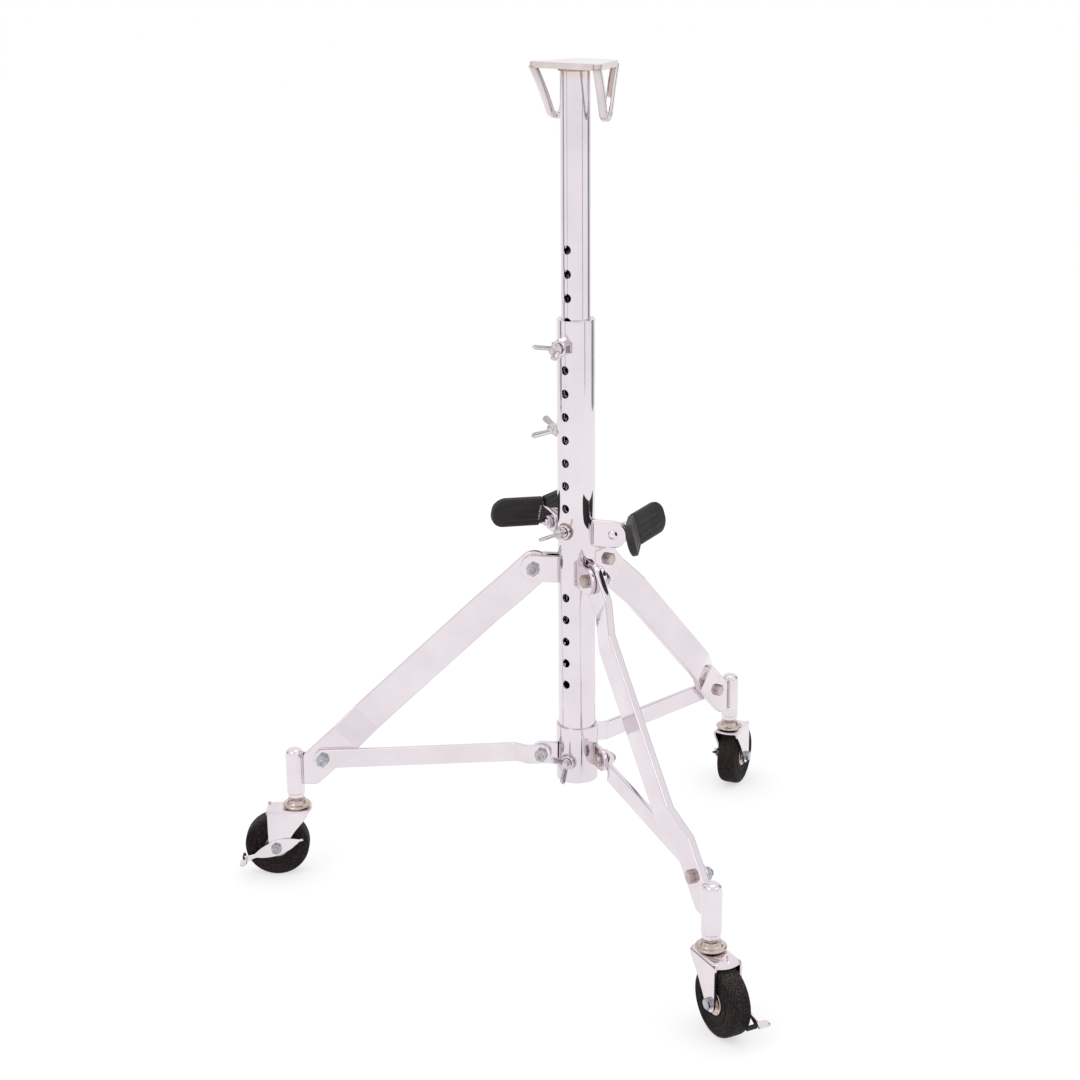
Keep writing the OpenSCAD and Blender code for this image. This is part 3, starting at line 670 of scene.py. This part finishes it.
def sleeveNut(seat, length, rounded=True):
    # boss on a tube, along X from inside the tube's face
    if rounded:
        rim = filleted([(0, seat - 2), (8, seat - 2), (8, seat + length), (4.2, seat + length),
                        (4.2, seat + length - 1), (0, seat + length - 1)],
                       [0, 0, 1.2, 0.5, 0, 0], 5, closed=False)
        return stood([turned(rim, 48)], zToX)
    return stood([(through(hexHead(boss["across"], length + 2, 1.0)[0], shift(0, 0, seat - 2)), True)], zToX)


def bossPlace(name):
    az, height = screws[name][1], screws[name][3]
    return at(az, 0, 0, height)


mastR = mast["od"] / 2
bosses = stood(sleeveNut(mastR, 11, rounded=False), bossPlace("height_screw"))
bosses += stood(sleeveNut(mastR, 5), bossPlace("lock_screw"))
bosses += stood(sleeveNut(mastR, 4), bossPlace("index_screw"))
build("screwBosses", bosses, chrome, "base", ["screw_bosses"])
build("collarBoss", stood(sleeveNut(collarOut, 5), bossPlace("collar_screw")), chrome, "collar",
      ["collar_boss"])


def saddleBead(tubeR, ringR, radius):
    # weld ring where a round boss meets a tube: a circle laid on the tube's wall
    a = np.linspace(0, 2 * np.pi, 72, endpoint=False)
    y, z = ringR * np.cos(a), ringR * np.sin(a)
    return [bead(np.stack([np.sqrt(tubeR**2 - y * y) + 0.3, y, z], -1), radius, (1, 0, 0), closed=True)]


build("lockBossWeld", stood(saddleBead(mastR, boss["seamR"], 1.0), bossPlace("lock_screw")), weldChrome,
      "base")
build("indexBossWeld", stood(saddleBead(mastR, boss["seamR"], 1.0), bossPlace("index_screw")), burntWeld,
      "base")
build("collarBossWeld", stood(saddleBead(collarOut, boss["seamR"], 0.9), bossPlace("collar_screw")),
      weldChrome, "collar")
for name, (body, az, start, z, length, wingTurn) in screws.items():
    build(name.replace("_s", "S"), stood(wingScrew(length), at(az, start, 0, z) @ turn("x", -wingTurn)),
          castChrome, name, [name])
tipRod = filleted([(0, 16.235), (3.15, 16.235), (3.15, 25.6), (0, 25.6)], [0, 0.2, 1.4, 0], 5, closed=False)
build("pinTip", stood([turned(tipRod, 32)], at(60, 0, 0, mast["pinZ"]) @ zToX), chrome, "base",
      ["pin_tip"])
print("screws ready")

head = {"r": 33.0, "half": 30.0, "foot": 878.0, "barT": 7.0, "barW": 8.5, "footR": 9.0, "thick": 6.5,
        "top": 925.0}


def plateCorner(az, sign):
    out, over = head["r"] + head["barW"] / 2, head["half"] + head["barT"] / 2
    a = math.radians(az) + math.atan2(sign * over, out)
    return math.hypot(out, over) * np.array([math.cos(a), math.sin(a)])


corners = [plateCorner(hookSides["right"], -1), plateCorner(hookSides["right"], 1),
           plateCorner(hookSides["left"], -1), plateCorner(hookSides["left"], 1)]
headEdge = resampled(filleted(corners, [7, 9, 9, 7], 8), 5)
headTop = plate(headEdge * (1, -1), ((-2, -4), (6, -10)), head["thick"], 1.0)[0]
# the plate function lies in X and Z, so it is laid flat
headTop = np.stack([headTop[..., 0], -headTop[..., 2], headTop[..., 1] + head["top"] - head["thick"] / 2], -1)
build("headPlate", [(headTop, True)], chromeHead, "upper_mast", ["head_plate"])


def hookPath():
    # V with a round foot: each arm leaves the foot arc at a steep lean and flares out to the plate along a
    # quadratic curve through the arc's end, a point along that lean, and the top
    drop = head["top"] - head["thick"] - head["foot"]
    lean, r = 20.0, head["footR"]
    side = arc((0, 0), r, -90, -lean, 18)
    direction = np.array([math.sin(math.radians(lean)), math.cos(math.radians(lean))])
    top, knee = np.array([head["half"] - 0.3, drop + 2.5]), side[-1] + direction * 26
    t = np.linspace(0, 1, 30)[1:, None]
    rightHalf = np.concatenate([side, (1 - t) ** 2 * side[-1] + 2 * t * (1 - t) * knee + t**2 * top])
    pts = np.concatenate([rightHalf[::-1], (rightHalf * (-1, 1))[1:]])
    return np.stack([np.zeros(len(pts)), pts[:, 0], pts[:, 1]], -1)


for name, az in hookSides.items():
    hookTo = at(az, head["r"], 0, head["foot"])
    loop = swept(hookPath(), roundSection(head["barT"], head["barW"], 2.4), (1, 0, 0))
    build(f"hookLoop_{name}", stood([loop], hookTo), chromeHead, "upper_mast", [f"hook_{name}"],
          sharp=50)
ringA = np.linspace(0, 2 * np.pi, 160, endpoint=False)
tubeWeld = np.stack([(upper["od"] / 2 + 0.5) * np.cos(ringA), (upper["od"] / 2 + 0.5) * np.sin(ringA),
                     np.full(160, head["top"] - head["thick"] - 0.7)], -1)
build("headWeld", [bead(tubeWeld, 1.5, closed=True)], burntWeld, "upper_mast")
print("head ready")

cradle = {"pivotR": 43.0, "z": 427.0, "vee": 67.0, "angle": 152.0, "lean": 15.0, "strapT": 3.0,
          "strapW": 22.0, "armL": 56.0,
          "sleeveH": 35.0, "sleeveT": 10.0, "round": 15.0, "ribs": 5}


def sleeveSurface():
    # closed sleeve along X: a rounded box whose end is rounded in height, then in thickness, and closed flat;
    # the ribs are a wave across the height that fades before both ends
    tip, corner = cradle["armL"] + 3, cradle["round"]
    halfH, halfT = cradle["sleeveH"] / 2, cradle["sleeveT"] / 2
    t = np.sin(np.linspace(0.05, np.pi / 2, 20))
    x = np.concatenate([[1.2, 1.25, 1.6, 2.6], np.linspace(4, tip - corner, 26), tip - corner + corner * t,
                        [tip, tip, tip]])
    h = halfH - corner + np.sqrt(np.clip(corner**2 - np.clip(x - tip + corner, 0, corner) ** 2, 0, None))
    thick = halfT - 2.2 + np.sqrt(np.clip(2.2**2 - np.clip(x - tip + 2.2, 0, 2.2) ** 2, 0, None))
    ends = np.concatenate([[0.0, 0.9, 0.97, 1.0], np.ones(46), [0.7, 0.35, 0.0]])
    a = np.linspace(0, 2 * np.pi, 144, endpoint=False)
    c, s = np.cos(a), np.sin(a)
    zu = np.sign(s) * np.abs(s) ** 0.62
    yu = np.sign(c) * np.abs(c) ** 0.36
    wave = np.clip(1.6 * np.cos(2 * np.pi * zu * cradle["ribs"] / 2), -1, 1)
    ribs = 0.55 * wave * np.clip(np.abs(yu) * 2 - 1, 0, 1) * (np.abs(zu) < 0.9)
    fade = np.clip((x - 4) / 3, 0, 1) * np.clip((tip - corner + 1 - x) / 2, 0, 1)
    y = yu * (thick - 0.6)[:, None] + np.sign(yu) * ribs * fade[:, None]
    z = h[:, None] * zu
    return np.stack([np.repeat(x[:, None], len(a), 1), y * ends[:, None], z * ends[:, None]], -1), True


def strapSurface():
    half, length = cradle["angle"] / 2, cradle["armL"] - 8
    arm = np.linspace(0, length, 24)[1:]
    d = np.array([math.cos(math.radians(half)), math.sin(math.radians(half))])
    pts = np.concatenate([(arm[::-1, None] * d), [(0.25, 0)], arm[:, None] * d * (1, -1)])
    path = np.stack([pts[:, 0] + cradle["vee"], pts[:, 1], np.zeros(len(pts))], -1)
    return swept(path, roundSection(cradle["strapT"] - 0.1, cradle["strapW"] - 0.1, 0.7), (0, 0, 1))


tongueEdge = resampled(np.concatenate([arc((cradle["pivotR"], 0), 11, 90, 270, 28),
        [(cradle["vee"] - 1, -11), (cradle["vee"] - 1, 11)]]), 4)
bracketEdge = resampled(roundEnded(16.5, cradle["pivotR"], 15, 15), 4)
brackets, bracketWelds, cradleBolts = [], [], []
for name, az in hookSides.items():
    swing = at(az, cradle["pivotR"], 0, cradle["z"]) @ turn("y", -cradle["lean"]) @ shift(-cradle["pivotR"],
            0, 0)
    tongue = through(plate(tongueEdge, ((cradle["pivotR"], 0), (cradle["vee"] - 6, 0)), 4.0, 0.8)[0],
                     shift(0, 2.4, 0))
    build(f"cradleStrap_{name}", stood([strapSurface(), (tongue, True)], swing), chrome, f"cradle_{name}",
          [f"cradle_{name}"])
    seams = [uprightBead(cradle["vee"] - 2.3, y, -10, 10, 36, 1.1) for y in (0.1, 4.7)]
    build(f"cradleWeld_{name}", stood(seams, swing), weldChrome, f"cradle_{name}")
    sleeves, vents = [], []
    for sign in (-1, 1):
        armTo = swing @ shift(cradle["vee"], 0, 0) @ turn("z", sign * cradle["angle"] / 2)
        sleeves += stood([sleeveSurface()], armTo)
        rim = turned(filleted([(0, -1.5), (1.9, -1.5), (1.9, 0.35), (1.1, 0.45), (1.0, -0.8), (0, -0.8)],
                [0, 0, 0.3, 0.3, 0.2, 0], 4, closed=False), 24)
        vents += stood([(through(rim[0], shift(cradle["armL"] + 2.75, 0, 0) @ zToX), True)], armTo)
    build(f"cradleSleeves_{name}", sleeves, sleeveRubber, f"cradle_{name}", [f"pads_{name}"],
          sharp=0)
    build(f"sleeveVents_{name}", vents, endRubber, f"cradle_{name}")
    brackets += stood([plate(bracketEdge, ((24, 0), (cradle["pivotR"], 0)), 5.0, 0.8)],
                      at(az, 0, -2.5, cradle["z"]))
    for y in (-5.6, 0.6):
        x = math.sqrt(mastR**2 - y * y) + 0.35
        bracketWelds += stood([uprightBead(x, y, cradle["z"] - 13, cradle["z"] + 13, 46, 1.2)], turn("z", az))
    dome = filleted([(0, -2.6), (3.4, -2.5), (5.3, -0.6), (5.4, 0), (0, 0)], [0, 1.4, 0.5, 0.1, 0], 6,
                    closed=False)
    boltTo = at(az, cradle["pivotR"], -5, cradle["z"])
    rod = rodAlong(3.98, 0, 10)[0]
    cradleBolts += stood([(through(turned(dome, 40)[0], zToY), True), (through(rod, zToY), True),
                          (through(threaded(3.95, 9, 17)[0], zToY), True)] + hexNut(9.9, 4.8, 12), boltTo)
build("cradleBrackets", brackets, chrome, "base", ["cradle_brackets"])
build("cradleBracketWelds", bracketWelds, weldChrome, "base")
build("cradleBolts", cradleBolts, chrome, "base", ["cradle_pivot_bolts"])
print("cradles ready")

caster = {"wheelR": 37.0, "wheelW": 24.0, "trail": 24.0, "forkY": 13.6, "forkT": 2.4, "hubR": 13.5,
          "axleZ": 37.0}


def forkSurface():
    # one pressed sheet: the section goes up a cheek, round a bend, across the crown and down the other cheek;
    # the front and back limits of each line follow the cheek's taper and the crown's round ends
    mid, top, bend = caster["forkY"] + caster["forkT"] / 2, 80.8, 3.4
    zLow = 28.2
    zs = np.concatenate([zLow + 9 - 9 * np.cos(np.linspace(0.05, np.pi / 2, 10)),
                         np.linspace(38, top - bend, 26)[1:]])
    th = np.radians(np.linspace(0, 90, 8)[1:])
    bendY, bendZ = mid - bend + bend * np.cos(th), top - bend + bend * np.sin(th)
    crownY = np.linspace(mid - bend, 0, 14)[1:]
    y = np.concatenate([np.full(len(zs), mid), bendY, crownY])
    z = np.concatenate([zs, bendZ, np.full(len(crownY), top)])
    y, z = np.concatenate([y, -y[-2::-1]]), np.concatenate([z, z[-2::-1]])
    axle = caster["axleZ"]
    span = np.sqrt(np.clip(81 - (z - axle) ** 2, 0.4, None))
    back = np.where(z < axle, caster["trail"] - span, np.interp(z, [37, 56, 74, 79.5], [15, 3, -12, -14]))
    front = np.where(z < axle, caster["trail"] + span, np.interp(z, [37, 60, 80], [33, 33.2, 33.2]))
    onCrown = np.clip(1 - (np.abs(y) / mid) ** 2, 0, 1)
    back, front = back - 3.8 * onCrown, front + 2.2 * onCrown
    v = np.linspace(0, 1, 44)
    x = back[:, None] + (front - back)[:, None] * v
    zz = np.repeat(z[:, None], len(v), 1)
    flat = (np.abs(y) < mid - bend * 0.3)[:, None]
    visor = np.clip(x - 26, 0, None) ** 2 * 0.05
    yy = np.repeat(y[:, None], len(v), 1)
    valley = np.exp(-((np.abs(yy) - 0.62 * np.clip(29 - x, 0, None)) / 1.5) ** 2) * np.clip((x - 17) / 2, 0,
            1) * np.clip((30.5 - x) / 2, 0, 1)
    zz = zz - flat * (visor + 0.9 * valley)
    return np.stack([x, yy, zz], -1), False


def leafOutline():
    # two arcs that meet in a point at the nose, cut off and waisted to a tongue at the tail
    lens, offset = 56.0, 47.0
    x = np.linspace(-33, 39, 44)
    half = np.sqrt(np.clip(lens**2 - x**2, 0, None)) - offset
    half = np.where(x > 24, np.maximum(half, 2.6 + 1.4 * np.clip((x - 30) / 8, 0, 1)), half)
    upperEdge = np.stack([x, np.maximum(half, 1.4)], -1)
    return np.concatenate([upperEdge[::-1], upperEdge * (1, -1)])


leafEdge = resampled(leafOutline(), 2.5)
tyre = {"groove": (23.0, 1.5), "ribs": (29.5, 0.9)}


def tyreProfile():
    # section of the tyre, with a shallow groove and a step in each side wall
    r, h = caster["wheelR"], caster["wheelW"] / 2
    g, gw = tyre["groove"]
    k, kw = tyre["ribs"]
    half = [(caster["hubR"] + 0.3, 0), (caster["hubR"] + 0.3, h - 2.2), (16.5, h - 1.1), (g - gw, h - 0.9),
            (g - gw * 0.7, h - 2.0), (g + gw * 0.7, h - 2.0),
            (g + gw, h - 0.8), (k - kw, h - 0.3), (k - kw * 0.4, h - 1.0), (k + kw * 0.4, h - 1.0),
            (k + kw, h - 0.2), (r - 4.4, h),
            (r - 1.3, h - 1.2), (r - 0.2, h - 4.2), (r, h - 7), (r, 0)]
    half = filleted(half, [0, 0.6, 1.5, 0.5, 0.4, 0.4, 0.5, 0.6, 0.25, 0.25, 0.6, 1.6, 1.6, 1.4, 2.5, 0], 4,
                    closed=False)
    other = (half * (1, -1))[::-1][1:]
    return np.concatenate([half, other])


def hubProfile():
    # stepped disc: raised lip where the tyre sits, dished web, axle boss
    half = [(3.56, 0), (3.56, 13.2), (5.4, 13.2), (6.4, 11.6), (8.0, 10.6), (11.2, 10.3), (12.0, 11.3),
            (13.2, 11.4), (13.5, 10.8), (13.5, 0)]
    half = filleted(half, [0, 0.3, 0.5, 0.6, 0.8, 0.5, 0.5, 0.5, 0.3, 0], 4, closed=False)
    other = (half * (1, -1))[::-1]
    return np.concatenate([half, other, half[:1]])


capProfile = filleted([(5.08, 82.1), (12, 82.1), (14.6, 83.0), (16.2, 84.6), (16.3, 85.6), (15.4, 86.6),
                       (12.6, 87.4), (11.4, 89.0), (10.0, 92.2),
                       (5.08, 92.4)], [0.2, 1.2, 1.0, 0.8, 0.6, 0.8, 1.0, 0.9, 0.8, 0.4], 5)
for side, (az, trailAz) in legSides.items():
    swivelTo = at(az, tripod["stemR"], legCentre, 0) @ turn("z", trailAz - az)
    axleTo = swivelTo @ shift(caster["trail"], 0, caster["axleZ"])
    body = f"caster_{side}"
    fork = build(f"casterFork_{side}", stood([forkSurface()], swivelTo), chrome, body,
                 [f"fork_{side}"], sharp=0)
    wall = fork.modifiers.new("sheet", "SOLIDIFY")
    wall.thickness, wall.offset, wall.use_even_offset = caster["forkT"] * 0.001, 0, True
    lip = fork.modifiers.new("edge", "BEVEL")
    lip.width, lip.segments, lip.limit_method, lip.angle_limit = 0.0005, 2, "ANGLE", math.radians(55)
    lip.harden_normals = True
    build(f"swivelCap_{side}", stood([ringed(capProfile, 64)], swivelTo), yellowZinc, body,
          [f"swivel_cap_{side}"])
    outer = caster["forkY"] + caster["forkT"]
    rod = rodAlong(3.48, -outer, outer + 2.4)[0]
    axleParts = [(through(hexHead(10.7, 4.3, 0.7, twist=8)[0], shift(0, -outer, 0) @ turn("x", 90)), True),
                 (through(rod, zToY), True),
                 (through(hexHead(10.7, 4.4, 0.7, twist=20)[0], shift(0, outer + 2.6, 0) @ zToY), True),
                 (through(threaded(3.45, outer + 2, outer + 10.8)[0], zToY), True)]
    build(f"axleBolt_{side}", stood(axleParts, axleTo), whiteZinc, body, [f"axle_{side}"])
    wheelTo = axleTo @ zToY
    build(f"tyre_{side}", stood([ringed(tyreProfile(), 128)], wheelTo), tyreRubber, f"wheel_{side}",
          [f"tyre_{side}"])
    build(f"wheelHub_{side}", stood([turned(hubProfile(), 96)], wheelTo), yellowZinc, f"wheel_{side}",
          [f"hub_{side}"])
    leafY = outer + 0.3
    leaf = plate(leafEdge, ((-20, 0), (36, 0)), 1.9, 0.6,
                 lambda x: leafY + 1 + 0.9 * np.clip(-x - 24, 0, None) ** 2 / 40)
    t = np.linspace(0, 1, 24)
    pedalPath = np.stack([np.full(24, 40.6), leafY + 0.4 + 14.6 * t, -1.4 * t**2], -1)
    widths = 2 * np.sqrt(np.clip(4.3**2 - np.clip(14.6 * t - 10.4, 0, 4.2) ** 2, 0.6, None))
    pedal = swept(pedalPath, np.stack([roundSection(w, 1.8, 0.6) for w in widths]), (0, 0, 1))
    build(f"brakeLeaf_{side}", stood([leaf, pedal], axleTo @ turn("y", 20)), chrome, f"brake_{side}",
          [f"brake_{side}"], sharp=50)
    shoeEdge = resampled(filleted([(39.3, -3), (42, -3), (42, 3), (39.3, 3)], 0.8, 4), 2)
    shoe = through(plate(shoeEdge, ((40.6, -1.4), (40.6, 1.4)), 12.4, 0.7)[0], shift(0, 10.4, 0))
    build(f"brakeShoe_{side}", stood([(shoe, True)], axleTo @ turn("y", 20)), endRubber, f"brake_{side}")
print("casters ready")

studio = {"floorHalf": 9.0, "shadowShare": 0.5, "paperGlow": 1.16, "keyPower": 9, "fillPower": 4,
          "worldLight": 0.97}


def seenDirectly(tree):
    # 1 for what the camera sees, straight or in a reflection
    path = node(tree, "ShaderNodeLightPath")
    kinds = ("Is Camera Ray", "Is Glossy Ray", "Is Transmission Ray")
    both = node(tree, "ShaderNodeMath", {k: path.outputs[kinds[k]] for k in (0, 1)}, operation="ADD")
    return node(tree, "ShaderNodeMath", {0: both.outputs[0], 1: path.outputs[kinds[2]]}, operation="ADD",
                use_clamp=True)


def paperMaterial():
    # pale diffuse floor, lifted to white for the camera and in reflections so that only the shadow shows
    mat = bpy.data.materials.new("studioPaper")
    mat.use_nodes = True
    t = mat.node_tree
    t.nodes.clear()
    seen = seenDirectly(t)
    coord = node(t, "ShaderNodeTexCoord")
    fibre = node(t, "ShaderNodeTexNoise", {"Vector": coord.outputs["Object"]}, Scale=40, Detail=3)
    tone = remap(t, fibre.outputs["Fac"], toLow=0.88, toHigh=0.92)
    paint = node(t, "ShaderNodeBsdfDiffuse", {"Color": tone})
    lift = node(t, "ShaderNodeMath", {0: seen.outputs[0]}, operation="MULTIPLY", i1=studio["paperGlow"])
    glow = node(t, "ShaderNodeEmission", {"Strength": lift.outputs[0]}, Color=(1, 1, 1, 1))
    mix = node(t, "ShaderNodeMixShader", {1: glow.outputs[0], 2: paint.outputs[0]})
    share = node(t, "ShaderNodeMath", {0: seen.outputs[0]}, operation="MULTIPLY_ADD",
                 i1=studio["shadowShare"] - 1, i2=1)
    t.links.new(share.outputs[0], mix.inputs[0])
    out = node(t, "ShaderNodeOutputMaterial", {0: mix.outputs[0]})
    return mat


def flatQuad(name, cornerPoints, material):
    mesh = bpy.data.meshes.new(name)
    mesh.from_pydata([tuple(p) for p in cornerPoints], [], [(0, 1, 2, 3)])
    mesh.materials.append(material)
    quad = bpy.data.objects.new(name, mesh)
    bpy.context.collection.objects.link(quad)
    return quad


s = studio["floorHalf"]
flatQuad("floor", [(-s, -s, 0), (s, -s, 0), (s, s, 0), (-s, s, 0)], paperMaterial())

# dark flags stand just out of view and draw the thin dark lines down the chrome
flagMaterial = bpy.data.materials.new("studioFlag")
flagMaterial.use_nodes = True
cloth = flagMaterial.node_tree
weave = node(cloth, "ShaderNodeTexNoise", Scale=120)
shade = remap(cloth, weave.outputs["Fac"], toLow=0.28, toHigh=0.36)
cloth.links.new(shade, cloth.nodes["Principled BSDF"].inputs["Base Color"])
cloth.nodes["Principled BSDF"].inputs["Roughness"].default_value = 0.9
flags = {"leftFlag": (174, 2.2, 0.26), "farLeftFlag": (158, 2.4, 0.05), "rightFlag": (33, 2.2, 0.5),
         "nearFlag": (-30, 2.4, 0.09),
         "middleFlag": (-150, 2.6, 0.07)}
for name, (az, far, half) in flags.items():
    a = math.radians(az)
    centre, across = np.array([math.cos(a), math.sin(a)]) * far, np.array([-math.sin(a), math.cos(a)]) * half
    lo, hi = centre - across, centre + across
    flag = flatQuad(name, [(*lo, 0.02), (*hi, 0.02), (*hi, 1.9), (*lo, 1.9)], flagMaterial)
    flag.visible_camera = flag.visible_diffuse = flag.visible_shadow = False


def softbox(name, place, aim, size, power):
    lamp = bpy.data.lights.new(name, "AREA")
    lamp.shape, lamp.size, lamp.energy = "DISK", size, power
    obj = bpy.data.objects.new(name, lamp)
    bpy.context.collection.objects.link(obj)
    z = np.array(place, float) - np.array(aim, float)
    z /= np.linalg.norm(z)
    x = np.cross((0, 0, 1), z)
    x /= np.linalg.norm(x)
    y = np.cross(z, x)
    obj.matrix_world = Matrix([[*r, p] for r, p in zip(np.stack([x, y, z], 1), place)] + [[0, 0, 0, 1]])
    return obj


softbox("keyLight", (-1.6, -2.0, 2.6), (0, 0, 0.4), 1.6, studio["keyPower"])
softbox("fillLight", (2.4, -1.2, 1.9), (0, 0, 0.4), 1.8, studio["fillPower"])
softbox("topLight", (0.2, 0.6, 3.0), (0, 0, 0.3), 1.6, studio["fillPower"])

world = bpy.data.worlds.new("studioWorld")
bpy.context.scene.world = world
world.use_nodes = True
w = world.node_tree
backdrop = w.nodes["Background"]
backdrop.inputs["Color"].default_value = (1, 1, 1, 1)
seen = seenDirectly(w)
level = remap(w, seen.outputs[0], toLow=studio["worldLight"], toHigh=1.0)
w.links.new(level, backdrop.inputs["Strength"])

camera = {"place": (0.2313, -2.0817, 1.081), "heading": 7.43, "tilt": 72.38, "roll": -0.49, "lens": 67.13,
          "sensor": 36}
view = bpy.data.cameras.new("camera")
view.lens, view.sensor_width = camera["lens"], camera["sensor"]
viewer = bpy.data.objects.new("camera", view)
bpy.context.collection.objects.link(viewer)
aim = turn("z", camera["heading"]) @ turn("x", camera["tilt"]) @ turn("z", camera["roll"])
aim[:3, 3] = camera["place"]
viewer.matrix_world = Matrix(aim.tolist())
bpy.context.scene.camera = viewer
bpy.context.scene.view_settings.view_transform = "Standard"
print("studio ready")
